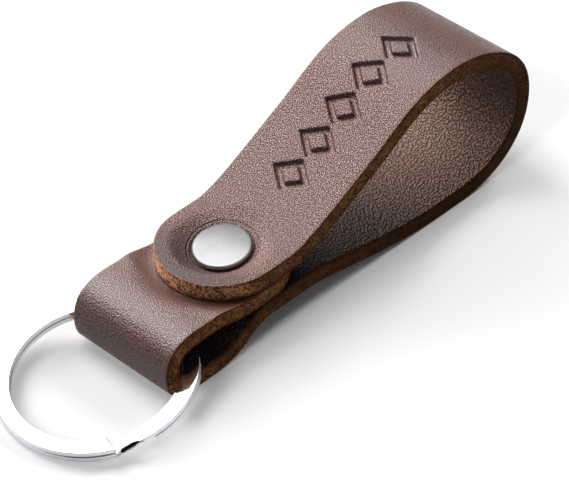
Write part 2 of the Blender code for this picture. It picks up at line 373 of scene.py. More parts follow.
def tinted(values, factor=1.0, shift=(1.0, 1.0, 1.0)):
    return (*[value * factor * change for value, change in zip(values, shift)], 1.0)


def start_material(name, preview):
    material = bpy.data.materials.new(name)
    material.use_nodes = True
    material.diffuse_color = tinted(preview)
    shader = material.node_tree.nodes["Principled BSDF"]
    return material, Nodes(material.node_tree), shader


def strap_patterns(nodes, place, base, dye, pebbles=None, fibres=None):
    """The outputs of the dye, the pebbles and the fibres that a side of the strap uses."""
    dark, dark_shift, light, cloud_size, fleck_size = dye
    yield nodes.use(dye_group(), {
        "Place": place, "Dark": tinted(base, dark, dark_shift), "Light": tinted(base, light),
        "Cloud Size": cloud_size, "Fleck Size": fleck_size})
    if pebbles:
        names = ("Pebble Size", "Slant", "Stretch", "Wander")
        yield nodes.use(pebble_group(), {"Place": place, **dict(zip(names, pebbles))})
    if fibres:
        names = ("Fibre Size", "Draw")
        yield nodes.use(fibre_group(), {"Place": place, **dict(zip(names, fibres))})


def grain_material(settings):
    """The dyed grain side: fine slanted pebbles, a waxy sheen, painted sheen on the pebbles' tops,
    painted shade in the creases and pressed marks, a painted highlight on the cut corner and
    painted light and shade along the strap.
    """
    base = settings.grain_colour
    material, nodes, shader = start_material("leather_grain_side", base)
    place = nodes.stored("strap_place", "Vector")
    along = nodes.parts(place)["X"]
    dye, pebbles = strap_patterns(nodes, place, base, (0.80, (1.0, 0.92, 0.90), 1.18, 11.0, 0.9),
                                  pebbles=(0.23, -0.38, 1.15, 0.2))
    # Painted sheen: the pebbles' tops are lightened towards grey, standing in for the wax's
    # highlights.
    lighter = nodes.mix(pebbles["Top"], dye["Color"], tinted(base, 2.0, (1.0, 2.0, 2.65)))
    relief = nodes.tone_along(along, (
        (0.0, 0.9), (9.0, 0.9), (44.0, 0.9), (58.0, 0.5), (90.0, 0.45), (150.0, 0.52),
        (200.0, 0.52)))
    # Painted shade: the creases are darkened, less where the relief along the strap is weaker.
    crease = nodes.times(pebbles["Crease"], relief)
    painted_shade_and_sheen = nodes.mix(crease, lighter, tinted(base, 0.15))

    from_axis = nodes.vector("SUBTRACT", place, (rivet_to_end / MM + 0.2, 0.0, 0.0))
    flat = nodes.vector("MULTIPLY", from_axis, (1.0, 1.0, 0.0))
    radius = nodes.vector("LENGTH", flat, out="Value")
    off_circle = nodes.calc("ABSOLUTE", nodes.minus(radius, settings.tool_mark_radius / MM))
    circle = nodes.remap(off_circle, 0.04, 0.22, 1.0, 0.0)
    # Painted shade in the setting tool's pressed circle, which is also bumped below.
    painted_shade_and_sheen = nodes.mix(nodes.times(circle, 0.6), painted_shade_and_sheen, tinted(base, 0.4))

    pressed = nodes.stored("pressed")
    wall = nodes.times(pressed, nodes.minus(1.0, pressed))
    # Painted shade in the pressed lozenges: their floors a little darker, their walls much darker.
    painted_mark_shade = nodes.mix(nodes.times(pressed, 0.25), painted_shade_and_sheen, tinted(base, 0.5))
    painted_mark_shade = nodes.mix(nodes.remap(wall, 0.0, 0.2, 0.0, 0.6), painted_mark_shade, tinted(base, 0.28))
    # Painted highlight along the rounded cut corner.
    corner = nodes.remap(nodes.stored("to_edge"), 0.0, 0.35, 0.5, 0.0)
    painted_corner_highlight = nodes.mix(corner, painted_mark_shade, tinted(base, 1.9, (1.0, 1.05, 1.05)))
    # Painted light and shade along the strap: darker round the cap and from the crest on, lightest
    # on the rising strand.
    tone = nodes.tone_along(along, (
        (0.0, 0.42), (5.0, 0.54), (10.0, 0.92), (18.0, 0.9), (24.0, 1.0), (44.0, 1.0),
        (54.0, 0.56), (90.0, 0.36), (150.0, 0.5), (168.0, 0.48), (176.0, 0.56), (200.0, 0.7)))

    swell = nodes.bump(nodes.noise(place, 0.16, 2.0), 0.35 * MM, 0.15)
    swell = nodes.bump(circle, -0.12 * MM, 1.0, Normal=swell)
    calm = nodes.times(nodes.remap(pressed, 0.2, 1.0, 1.0, 0.55), relief)
    nodes.fill(shader.inputs, {
        "Base Color": nodes.mix(1.0, painted_corner_highlight, tone, "MULTIPLY"),
        "Roughness": nodes.plus(nodes.remap(dye["Cloud"], 0.3, 0.7, 0.24, 0.30),
                                nodes.times(crease, 0.42)),
        "Specular IOR Level": 0.5,
        "Normal": nodes.bump(pebbles["Height"], 0.08 * MM, calm, Normal=swell),
    })
    return material


def flesh_material(settings):
    """The flesh side: lumpy and dull, with painted highlights on the lumps' paler tips, painted
    shade in their creases and painted light and shade along the strap.
    """
    base = settings.flesh_colour
    material, nodes, shader = start_material("leather_flesh_side", base)
    place = nodes.stored("strap_place", "Vector")
    dye, lumps, fibres = strap_patterns(nodes, place, base, (0.55, (1.0, 1.0, 1.0), 1.25, 7.0, 0.7),
                                        pebbles=(0.42, 0.5, 1.3, 0.9), fibres=(0.3, 1.3))
    # Painted light and shade along the strap: lightest on the inside of the nose, darkest along the
    # bottom strand and the lower plies.
    tone = nodes.tone_along(nodes.parts(place)["X"], (
        (0.0, 1.0), (66.0, 0.6), (76.0, 0.85), (88.0, 1.2), (102.0, 0.85), (118.0, 0.34),
        (150.0, 0.22), (160.0, 0.12), (200.0, 0.12)))
    # Painted highlights on the lumps' tips and painted shade in the creases between them.
    painted_tips_and_creases = nodes.mix(lumps["Top"], dye["Color"], tinted(base, 1.5, (1.0, 1.05, 1.08)))
    painted_tips_and_creases = nodes.mix(lumps["Crease"], painted_tips_and_creases, tinted(base, 0.46))
    fine = nodes.bump(fibres["Height"], 0.05 * MM, 0.8)
    nodes.fill(shader.inputs, {
        "Base Color": nodes.mix(1.0, painted_tips_and_creases, tone, "MULTIPLY"),
        "Roughness": nodes.remap(fibres["Height"], 0.2, 0.9, 0.62, 0.42),
        "Specular IOR Level": 0.2,
        "Normal": nodes.bump(lumps["Height"], 0.20 * MM, 1.0, Normal=fine),
    })
    return material


def cut_material(settings):
    """The cut edge: undyed tan fibres with dark pits, browner where dye ran in, with painted light
    on the top ply's round end and painted shade round the nose and the belly.
    """
    base = settings.cut_colour
    material, nodes, shader = start_material("leather_cut_edge", base)
    place = nodes.stored("strap_place", "Vector")
    dye, fibres = strap_patterns(nodes, place, base, (0.55, (1.0, 0.9, 0.8), 1.35, 2.4, 0.4),
                                 fibres=(0.24, 1.2))
    along, across, up = nodes.parts(place)
    # Painted light and shade along the strap: much lighter at the top ply's round end, darkest
    # round the nose and the belly.
    tone = nodes.tone_along(along, (
        (0.0, 4.0), (4.0, 2.8), (9.0, 1.05), (16.0, 0.95), (50.0, 0.95), (66.0, 0.55),
        (78.0, 0.30), (105.0, 0.28), (145.0, 0.55), (160.0, 1.1), (178.0, 1.2), (202.0, 1.1)))
    painted_lit_edge = nodes.mix(1.0, dye["Color"], tone, "MULTIPLY")
    # Painted light: the round end's tip is turned a light orange.
    painted_lit_edge = nodes.mix(nodes.remap(along, 1.0, 8.0, 0.8, 0.0), painted_lit_edge, (0.80, 0.46, 0.27, 1.0))
    unpitted = nodes.minus(0.92, nodes.times(fibres["Pits"], 0.92))
    pitted = nodes.mix(unpitted, painted_lit_edge, tinted(base, 0.14))
    rubbed = nodes.remap(up, -1.3, -0.5, 0.65, 0.0)
    pitted = nodes.mix(rubbed, pitted, tinted(base, 0.22, (1.0, 0.9, 0.9)))
    face = nodes.remap(up, 0.85, 1.35, 0.0, 0.7)
    nodes.fill(shader.inputs, {
        "Base Color": nodes.mix(face, pitted, tinted(settings.grain_colour, 0.8)),
        "Roughness": nodes.remap(fibres["Height"], 0.0, 0.7, 0.95, 0.7),
        "Specular IOR Level": 0.03,
        "Normal": nodes.bump(fibres["Height"], 0.12 * MM, 0.9),
    })
    return material


def metal_material(name, base, scales, shades, rough, hair_rough, relief):
    """Satin or polished metal. relief is the bumped pattern with its height and strength."""
    material, nodes, shader = start_material(name, base)
    finish = nodes.use(metal_group(), {
        "Place": nodes.add("ShaderNodeTexCoord")["Object"], "Cloud Scale": scales[0],
        "Hair Scale": scales[1]})
    pattern, height, strength = relief
    nodes.fill(shader.inputs, {
        "Base Color": nodes.mix(nodes.remap(finish["Cloud"], 0.3, 0.7),
                                *(tinted(base, shade) for shade in shades)),
        "Metallic": 1.0,
        "Roughness": nodes.plus(nodes.remap(finish["Cloud"], 0.3, 0.7, *rough),
                                nodes.times(finish["Hair"], hair_rough)),
        "Normal": nodes.bump(finish[pattern], height, strength),
    })
    return material


# The strap's middle line and the surface round it

def strap_knots():
    """The line's knots: x from the rivet's axis, z, heading, handle shares before and after."""
    right, up, left, down = 0.0, math.pi / 2, math.pi, -math.pi / 2
    third = 1 / 3
    return [
        (-rivet_to_end, top_ply_z, right, third, third),
        (cap_radius, top_ply_z, right, third, 0.20),
        (0.388 * loop_reach, 0.70 * loop_height, math.radians(26.5), 0.28, third),
        (0.707 * loop_reach, loop_height - half_thickness, right, 0.48, 0.12),
        (loop_reach - half_thickness, 0.48 * loop_height, down, 0.52, 0.48),
        (0.734 * loop_reach, half_thickness, left, third, third),
        (0.658 * loop_reach, half_thickness, left, third, 0.42),
        (0.135 * loop_reach, low_ply_z, left, 0.20, third),
        (-cap_radius, low_ply_z, left, third, third),
        (-rivet_to_end - 0.12 * fold_depth, half_thickness, left, third, third),
        (-rivet_to_end - 0.545 * fold_depth, half_thickness, left, third, 0.39),
        (half_thickness - rivet_to_end - fold_depth, fold_nose_z, up, 0.62, 0.45),
        (-rivet_to_end - 0.41 * fold_depth, fold_height - half_thickness, right, 0.49, 0.40),
        (-rivet_to_end, mid_ply_z, right, third, third),
        (rivet_to_end, mid_ply_z, right, third, third),
    ]


class StrapLine:
    """The strap's middle line by length from the top ply's tip, grain side to its left."""

    # Which knots end the pieces of the line that other functions ask for
    low_ply_start, low_ply_end, foot_end, fold_top, mid_ply = 7, 8, 10, 12, 13
    points_per_knot = 97

    def __init__(self):
        knots = strap_knots()
        points, self.knot_rows = [], [0]
        for before, after in zip(knots, knots[1:]):
            start, finish = (Vector((knot[0], 0, knot[1])) for knot in (before, after))
            chord = (finish - start).length
            leave, arrive = (Vector((math.cos(angle), 0, math.sin(angle))) * chord * handle
                             for angle, handle in ((before[2], before[4]), (after[2], after[3])))
            points += interpolate_bezier(start, start + leave, finish - arrive, finish,
                                         self.points_per_knot)[:-1]
            self.knot_rows.append(len(points))
        points.append(finish)
        self.x, self.z = (np.array([point[axis] for point in points]) for axis in (0, 2))
        steps = np.hypot(np.diff(self.x), np.diff(self.z))
        self.lengths = np.concatenate([[0.0], np.cumsum(steps)])
        along_x, along_z = (np.gradient(values, self.lengths) for values in (self.x, self.z))
        size = np.hypot(along_x, along_z)
        self.along_x, self.along_z = along_x / size, along_z / size
        self.total = self.lengths[-1]
        self.knot_lengths = self.lengths[self.knot_rows]

    def surface(self, along, across, height):
        """Points for arrays of the length along, the place across and the height above the line."""
        x, z, along_x, along_z = (np.interp(along, self.lengths, values) for values in
                                  (self.x, self.z, self.along_x, self.along_z))
        lift = self.fold_lift(along, across, x) + self.foot_drop(along, across, x)
        px = x - along_z * height + rivet_x
        pz = z + along_x * height + lift
        return np.stack([px, across, np.maximum(pz, floor_gap)], -1)

    def fold_lift(self, along, across, x):
        """The middle ply's edges stay up beside the round end that presses its middle down."""
        rows = slice(self.knot_rows[self.fold_top], self.knot_rows[self.mid_ply] + 1)
        xs, zs = self.x[rows], self.z[rows]
        centre_x = end_radius - rivet_to_end
        away = centre_x - np.hypot(np.minimum(x - centre_x, 0.0), across)
        lifted = np.interp(np.maximum(away, xs[0]), xs, zs) - np.interp(x, xs, zs)
        here = (along >= self.knot_lengths[self.fold_top]) & (x <= centre_x)
        return np.where(here, np.maximum(lifted, 0.0), 0.0)

    def foot_drop(self, along, across, x):
        """The lowest ply's edges bend down to the surface earlier than its clamped middle."""
        low, high = self.knot_rows[self.low_ply_start], self.knot_rows[self.foot_end]
        xs, zs = self.x[low:high + 1][::-1], self.z[low:high + 1][::-1]
        middle_at = np.array([-25, -12.5, -10.6, 0.5, 5, 100]) * MM
        edge_like = np.array([-25, -12.9, -11.86, -4.65, 5, 100]) * MM
        edge_z = np.interp(np.interp(x, middle_at, edge_like), xs, zs)
        drop = edge_z - np.interp(x, xs, zs)
        here = ((along >= self.knot_lengths[self.low_ply_start])
                & (along <= self.knot_lengths[self.foot_end]))
        return np.where(here, drop * np.square(across / end_radius), 0.0)


def strap_stations(settings, line):
    """Lengths of the cross sections, closer at the round ends and on the top strand."""
    marks_end, round_steps = 62 * MM, 49
    turned = np.linspace(0, math.pi / 2, round_steps)
    first = end_radius - (end_radius - settings.corner_round) * np.cos(turned)
    step = settings.fine_step
    fine = np.arange(end_radius + step, marks_end - step / 2, step)
    plain = np.linspace(marks_end, line.total - end_radius,
                        int((line.total - end_radius - marks_end) / settings.plain_step))
    last = line.total - first[::3][::-1]
    return np.concatenate([first, fine, plain[:-1], last])


def strap_columns():
    """Shares of the half width, closer together where the rivet and the pressed row are."""
    fine_share, fine_columns, side_columns = 0.52, 46, 11
    middle = np.linspace(-fine_share, fine_share, fine_columns)
    side = np.linspace(fine_share, 1.0, side_columns)[1:]
    return np.concatenate([-side[::-1], middle, side])


def smooth_fall(values, low, high):
    """One up to the low value, none from the high value on."""
    share = np.clip((values - low) / (high - low), 0, 1)
    return 1 - share * share * (3 - 2 * share)


def pressed_depth(settings, rivet, line, along, across):
    """How far the cap and the setting tool press the top ply in, and the base the lowest."""
    groove_foot, groove_rim = cap_radius + 0.08 * MM, cap_radius + 0.5 * MM
    mark_foot, mark_rim = (settings.tool_mark_radius + step * MM for step in (-0.25, 0.05))
    recess_foot, recess_rim = cap_radius + 0.1 * MM, cap_radius + 1.5 * MM
    recess_depth = 0.5 * MM

    natural = line.surface(along, across, np.full_like(along, half_thickness))
    from_rivet_x = natural[..., 0] - rivet_x
    from_rivet = np.hypot(from_rivet_x, across)
    cap_side = cap_high.z - rivet.cap_sink - rivet.dome - settings.cap_stand
    pressed_to = cap_side + from_rivet_x * math.tan(rivet.cap_lean)
    dish = np.maximum(natural[..., 2] - pressed_to, 0.0) * smooth_fall(
        from_rivet, cap_radius, settings.dish_radius)
    groove = settings.groove_depth * smooth_fall(from_rivet, groove_foot, groove_rim)
    mark = settings.tool_mark_depth * smooth_fall(from_rivet, mark_foot, mark_rim)
    on_top_ply = along < 2.5 * rivet_to_end

    base_at = line.knot_lengths[line.low_ply_end] - cap_radius
    from_base = np.hypot(along - base_at, across)
    recess = recess_depth * smooth_fall(from_base, recess_foot, recess_rim)
    on_low_ply = np.abs(along - base_at) < 2 * cap_radius
    return np.where(on_top_ply, dish + groove + mark, 0.0), np.where(on_low_ply, recess, 0.0)


def rim_steps():
    """Round the strap's cut side: the way out, and the drops from the grain and flesh sides.

    The last row is the share of the way from the one side to the other.
    """
    arc, wall = 3, 6
    quarter = np.pi / 2 * np.arange(1, arc + 1) / arc
    back = quarter - quarter[0]
    return (np.concatenate([np.sin(quarter), np.ones(wall - 1), np.cos(back)]),
            np.concatenate([1 - np.cos(quarter), np.ones(wall - 1 + arc)]),
            np.concatenate([np.ones(arc + wall - 1), 1 - np.sin(back)]),
            np.concatenate([np.zeros(arc), np.arange(1, wall) / wall, np.ones(arc)]))


def strap_mesh(settings, rivet):
    """The strap as one closed shell that stores its own place, distance to the edge and zones."""
    line = StrapLine()
    inset = settings.corner_round
    reach = end_radius - inset
    stations, columns = strap_stations(settings, line), strap_columns()
    rows, wide = len(stations), len(columns)

    to_end = np.minimum(stations, line.total - stations)
    in_round = np.maximum(end_radius - to_end, 0.0)
    half_width = np.sqrt(np.maximum(reach**2 - in_round**2, 0.0))
    half_width[[0, -1]] = 0.0
    lean = np.minimum(in_round / reach, 1.0) * np.where(stations < line.total / 2, -1.0, 1.0)
    side_out = np.sqrt(np.maximum(1 - lean**2, 0.0))

    rim_out, from_grain, from_flesh, rim_share = rim_steps()
    rim = len(rim_out)
    around = 2 * wide + 2 * rim
    grain, right_rim = slice(0, wide), slice(wide, wide + rim)
    flesh, left_rim = slice(wide + rim, 2 * wide + rim), slice(2 * wide + rim, around)
    across, height, on_grain = np.zeros((3, rows, around))
    along = np.repeat(stations[:, None], around, 1)
    on_grain[:, grain] = 1.0
    across[:, grain] = half_width[:, None] * columns
    across[:, flesh] = half_width[:, None] * columns[::-1]
    swell_ends, swell_starts = 18 * MM, 28 * MM
    swell = settings.flesh_swell + (settings.top_swell - settings.flesh_swell) * (
        smooth_fall(stations, swell_ends, swell_starts))
    bottom = -half_thickness - swell
    height[:, grain] = half_thickness
    height[:, flesh] = bottom[:, None]
    cut_roughness, noise_per_mm, noise_per_side, noise_per_step = 0.06, 1.5, 7.3, 0.8
    for part, sign in ((right_rim, 1), (left_rim, -1)):
        rough = np.array([[noise.noise(Vector((
            stations[row] / MM * noise_per_mm, sign * noise_per_side + half_width[row] / MM,
            step * noise_per_step)))
            for step in range(rim)] for row in range(rows)]) * cut_roughness * MM
        push = rim_out[::sign] * inset + rough * (rim_out[::sign] > 0.99)
        across[:, part] = sign * half_width[:, None] + sign * side_out[:, None] * push
        along[:, part] = stations[:, None] + lean[:, None] * push
        share = rim_share[::sign]
        height[:, part] = (half_thickness - inset * from_grain[::sign]) * (1 - share) + (
            bottom[:, None] + inset * from_flesh[::sign]) * share

    for depth in pressed_depth(settings, rivet, line, along, across):
        height -= on_grain * depth
    points = line.surface(along, across, height)
    to_edge = inset + np.maximum(reach - np.where(
        in_round[:, None] > 0, np.hypot(in_round[:, None], across), np.abs(across)), 0.0)
    to_edge[:, right_rim] = to_edge[:, left_rim] = 0.0

    index = np.arange(rows * around).reshape(rows, around)
    for row in (0, rows - 1):
        index[row, grain] = index[row, 0]
        index[row, flesh] = index[row, flesh.start]
        index[row, left_rim] = index[row, right_rim][::-1]
    beside = np.roll(index, -1, axis=1)
    quads = np.stack([index[:-1], index[1:], beside[1:], beside[:-1]], -1)
    zone_row = np.full(around, 2)
    zone_row[:wide] = zone_row[-1] = 0
    zone_row[flesh.start:flesh.stop - 1] = 1
    faces, zones = [], []
    for place, corners in enumerate(quads.reshape(-1, 4).tolist()):
        kept = list(dict.fromkeys(corners))
        if len(kept) > 2:
            faces.append(kept)
            zones.append(zone_row[place % around])

    mesh = bpy.data.meshes.new("strap_shell")
    mesh.from_pydata(points.reshape(-1, 3).tolist(), [], faces)
    for name, kind, domain, field, values in (
        ("strap_place", "FLOAT_VECTOR", "POINT", "vector",
         np.stack([along, across, height], -1) / MM),
        ("to_edge", "FLOAT", "POINT", "value", to_edge / MM),
        ("grain_side", "FLOAT", "POINT", "value", on_grain),
        ("zone", "INT", "FACE", "value", np.array(zones)),
    ):
        stored = mesh.attributes.new(name, kind, domain)
        stored.data.foreach_set(field, values.reshape(-1).astype(
            np.int32 if kind == "INT" else np.float32))
    shell = bmesh.new()
    shell.from_mesh(mesh)
    loose = [vertex for vertex in shell.verts if not vertex.link_faces]
    bmesh.ops.delete(shell, geom=loose, context="VERTS")
    bmesh.ops.recalc_face_normals(shell, faces=shell.faces)
    keep_smooth(shell, mesh)
    return mesh


def keep_smooth(shape, mesh):
    """Puts the shape in the mesh, with smooth faces."""
    for face in shape.faces:
        face.smooth = True
    shape.to_mesh(mesh)
    shape.free()


# Geometry Nodes

def pressed_lozenges(nodes, given):
    """Presses a row of lozenges into the grain side and gives the strap's zones their material."""
    def stored(name, kind):
        return nodes.add("GeometryNodeInputNamedAttribute", {"Name": name}, data_type=kind)[0]

    place = nodes.parts(stored("strap_place", "FLOAT_VECTOR"))
    from_first = nodes.minus(place["X"], given["First"])
    nearest = nodes.calc("ROUND", nodes.over(from_first, given["Pitch"]))
    last = nodes.minus(given["Count"], 1.0)
    number = nodes.calc("MINIMUM", nodes.calc("MAXIMUM", nearest, 0.0), last)
    beside = nodes.minus(from_first, nodes.times(number, given["Pitch"]))
    share_along = nodes.over(nodes.calc("ABSOLUTE", beside), given["Half Length"])
    share_across = nodes.over(nodes.calc("ABSOLUTE", place["Y"]), given["Half Width"])
    reached = nodes.plus(share_along, share_across)
    wall = nodes.over(given["Wall"], given["Half Width"])
    outer = nodes.remap(reached, nodes.minus(1.0, wall), 1.0, 1.0, 0.0)
    island = nodes.remap(reached, given["Island"], nodes.plus(given["Island"], wall))
    here = nodes.times(nodes.times(outer, island), stored("grain_side", "FLOAT"))
    shape = nodes.add("GeometryNodeStoreNamedAttribute", {
        "Geometry": given["Strap"], "Name": "pressed", "Value": here,
    }, data_type="FLOAT", domain="POINT")["Geometry"]
    down = nodes.times(nodes.times(here, given["Depth"]), -MM)
    offset = nodes.scaled(nodes.add("GeometryNodeInputNormal")["Normal"], down)
    shape = nodes.add("GeometryNodeSetPosition", {"Geometry": shape, "Offset": offset})[0]
    shape = nodes.add("GeometryNodeRealizeInstances", {"Geometry": shape})[0]
    for zone, name in enumerate(("Grain Side", "Flesh Side", "Cut Edge")):
        chosen = nodes.add("FunctionNodeCompare", {2: stored("zone", "INT"), 3: zone},
                           data_type="INT", operation="EQUAL")["Result"]
        shape = nodes.add("GeometryNodeSetMaterial", {
            "Geometry": shape, "Selection": chosen, "Material": given[name]})[0]
    return {"Strap": shape}


def split_ring_coils(nodes, given):
    """Flat wire wound twice: the upper coil, a ramp down, then the lower coil."""
    straight = nodes.add("GeometryNodeCurvePrimitiveLine")["Curve"]
    wire = nodes.add("GeometryNodeResampleCurve", {
        "Curve": straight, "Count": given["Path Points"]}, mode="COUNT")["Curve"]
    sweep = nodes.minus(2 * math.pi, given["Ramp"])
    both_coils = nodes.minus(nodes.times(sweep, 2.0), given["Overlap"])
    whole = nodes.plus(both_coils, given["Ramp"])
    turned = nodes.times(nodes.add("GeometryNodeSplineParameter")["Factor"], whole)
    angle = nodes.minus(given["Coil End"], turned)
    layer = nodes.times(nodes.plus(given["Coil Thickness"], given["Coil Gap"]), 0.5)
    height = nodes.remap(turned, sweep, nodes.plus(sweep, given["Ramp"]), layer,
                         nodes.times(layer, -1.0))
    x, y = (nodes.times(nodes.calc(wave, angle), given["Middle Radius"])
            for wave in ("COSINE", "SINE"))
    wound = nodes.add("GeometryNodeSetPosition", {
        "Geometry": wire, "Position": nodes.joined(x, y, height)})["Geometry"]
    wound = nodes.add("GeometryNodeSetCurveNormal", {"Curve": wound}, mode="Z_UP")["Curve"]
    outline = nodes.add("GeometryNodeCurvePrimitiveQuadrilateral", {
        "Width": given["Coil Width"], "Height": given["Coil Thickness"]},
        mode="RECTANGLE")["Curve"]
    outline = nodes.add("GeometryNodeFilletCurve", {
        "Curve": outline, "Radius": given["Edge Round"], "Count": 4, "Limit Radius": True},
        mode="POLY")["Curve"]
    outline = nodes.add("GeometryNodeSubdivideCurve", {"Curve": outline, "Cuts": 3})["Curve"]
    shape = nodes.add("GeometryNodeCurveToMesh", {
        "Curve": wound, "Profile Curve": outline, "Fill Caps": True})["Mesh"]
    shape = nodes.add("GeometryNodeRealizeInstances", {"Geometry": shape})["Geometry"]
    shape = nodes.add("GeometryNodeSetMaterial", {
        "Geometry": shape, "Material": given["Wire"]})["Geometry"]
    return {"Ring": shape}


def shape_with(item, wire, values):
    """Runs a Geometry Nodes tree on the object and keeps its result as a plain mesh."""
    tree = new_group(wire.__name__, wire, values, "GeometryNodeTree")
    modifier = item.modifiers.new(tree.name, "NODES")
    modifier.node_group = tree
    for socket in tree.interface.items_tree:
        if socket.in_out == "INPUT" and not isinstance(values[socket.name], str):
            modifier[socket.identifier] = values[socket.name]
    item.update_tag()
    bpy.context.view_layer.update()
    graph = bpy.context.evaluated_depsgraph_get()
    mesh = bpy.data.meshes.new_from_object(
        item.evaluated_get(graph), depsgraph=graph, preserve_all_data_layers=True)
    if not mesh.polygons:
        raise RuntimeError(f"{tree.name} made no faces")
    while mesh.materials[0] is None:
        mesh.materials.pop(index=0)
    item.modifiers.remove(modifier)
    old, item.data = item.data, mesh
    mesh.name = item.name
    bpy.data.meshes.remove(old)


def lit_pieces(name):
    """The pieces that one softbox lights."""
    return bpy.data.collections.get(name) or bpy.data.collections.new(name)


def add_piece(name, data):
    item = bpy.data.objects.new(name, data)
    bpy.context.scene.collection.objects.link(item)
    return item


def card_mesh(name, half, place):
    """A square card that faces along its own Z."""
    mesh = bpy.data.meshes.new(name)
    corners = [(-half, -half, 0), (half, -half, 0), (half, half, 0), (-half, half, 0)]
    mesh.from_pydata(corners, [], [(0, 1, 2, 3)])
    mesh.transform(place)
    return mesh


# Operators

class KEYRING_OT_studio(bpy.types.Operator):
    """Set up the camera, the pale floor and the soft lights"""

    bl_idname = "keyring.studio"
    bl_label = "Studio"

    def execute(self, context):
        settings = context.scene.keyring_studio
        self.make_camera(context, settings)
        self.make_floor(settings)
        self.make_lights(settings)
        self.make_flags()
        self.make_world(context, settings)
        context.scene.view_settings.view_transform = "Standard"
        return {"FINISHED"}

    def make_camera(self, context, settings):
        azimuth, elevation, roll = (math.radians(angle) for angle in (-45.42, 40.47, -0.94))
        aim_right, aim_up = 9.228 * MM, 8.266 * MM
        level = Vector((math.cos(azimuth), math.sin(azimuth), 0))
        back = Vector((math.sin(azimuth) * math.cos(elevation),
                       -math.cos(azimuth) * math.cos(elevation), math.sin(elevation)))
        upright = back.cross(level)
        right = math.cos(roll) * level + math.sin(roll) * upright
        up = -math.sin(roll) * level + math.cos(roll) * upright
        aim = Vector((rivet_x, 0, 0)) + right * aim_right + up * aim_up
        data = bpy.data.cameras.new("studio_camera")
        data.sensor_width, data.sensor_fit = 36.0, "HORIZONTAL"
        data.lens = settings.lens
        data.clip_start, data.clip_end = 0.02, 20.0
        camera = add_piece("studio_camera", data)
        place = Matrix((right, up, back)).transposed().to_4x4()
        place.translation = aim + back * settings.camera_distance
        camera.matrix_world = place
        context.scene.camera = camera

    def make_floor(self, settings):
        half_size = 2.5
        mesh = card_mesh("studio_floor", half_size, Matrix.Translation((0, 0, -floor_gap)))
        mesh.materials.append(self.floor_material(settings.floor_colour))
        floor = add_piece("studio_floor", mesh)
        lit_pieces("floor_pieces").objects.link(floor)

    def floor_material(self, base):
        """A pale floor that the lens sees a little lighter, and that is clear from underneath."""
        material, nodes, shader = start_material("studio_floor", base)
        clouds = nodes.noise(nodes.add("ShaderNodeTexCoord")["Object"], 6.0, 2.0)
        paint = nodes.mix(clouds, tinted(base, 0.99), tinted(base, 1.01))
        path = nodes.add("ShaderNodeLightPath")
        seen = nodes.calc("MAXIMUM", path["Is Camera Ray"], path["Is Transmission Ray"])
        unseen = nodes.mix(path["Is Glossy Ray"], tinted(base, 0.40), tinted(base, 0.85))
        nodes.fill(shader.inputs, {
            "Base Color": nodes.mix(seen, unseen, paint), "Roughness": 0.9,
            "Specular IOR Level": 0.0})
        glow = nodes.add("ShaderNodeEmission", {
            "Color": (1, 1, 1, 1), "Strength": nodes.times(seen, 0.02)})
        lit = nodes.add("ShaderNodeAddShader", {0: shader.outputs[0], 1: glow[0]})
        clear = nodes.add("ShaderNodeBsdfTransparent")
        behind = nodes.add("ShaderNodeNewGeometry")["Backfacing"]
        both = nodes.add("ShaderNodeMixShader", {0: behind, 1: lit[0], 2: clear[0]})
        nodes.fill(nodes.tree.nodes["Material Output"].inputs, {"Surface": both[0]})
        return material

    def make_lights(self, settings):
        """Softboxes that each light one kind of piece, from a direction and a distance."""
        lamps = [
            ("key_softbox", settings.key_power, (0.85, 0.90), (0.05, 0.71, 0.70), 0.80,
             "leather_pieces"),
            ("wide_softbox", settings.wide_power, (0.90, 0.90), (-0.12, 0.42, 0.90), 0.78,
             "metal_pieces"),
        ] + [
            ("floor_" + side, settings.floor_power * part, (0.40, 0.40), direction, 0.80,
             "floor_pieces")
            for side, part, direction in (
                ("right", 0.32, (0.81, 0.0, 0.59)), ("left", 0.28, (-0.81, 0.0, 0.59)),
                ("back", 0.25, (0.0, 0.81, 0.59)), ("top", 0.15, (0.0, 0.47, 0.88)))
        ]
        for name, power, size, direction, distance, pieces in lamps:
            data = bpy.data.lights.new(name, "AREA")
            data.shape = "RECTANGLE"
            data.size, data.size_y = size
            data.energy = power
            lamp = add_piece(name, data)
            way = Vector(direction).normalized()
            lamp.location = way * distance
            lamp.rotation_euler = way.to_track_quat("Z", "Y").to_euler()
            lamp.light_linking.receiver_collection = lit_pieces(pieces)

    def make_flags(self):
        """Black cards that only show in reflections, as beside a lens in a studio."""
        black = (0.02, 0.02, 0.02)
        for name, size, direction, distance in (
            ("lens_side_flag", 0.50, (-0.68, -0.25, 0.69), 0.80),
            ("right_flag", 0.70, (0.84, 0.26, 0.47), 0.85),
        ):
            place = Vector(direction).normalized() * distance
            turned = place.to_track_quat("Z", "Y").to_matrix().to_4x4()
            mesh = card_mesh(name, size / 2, Matrix.Translation(place) @ turned)
            material, nodes, shader = start_material(name, black)
            nodes.fill(shader.inputs, {"Base Color": tinted(black), "Specular IOR Level": 0.0})
            mesh.materials.append(material)
            flag = add_piece(name, mesh)
            flag.visible_camera = flag.visible_diffuse = False
            flag.visible_shadow = flag.visible_transmission = False

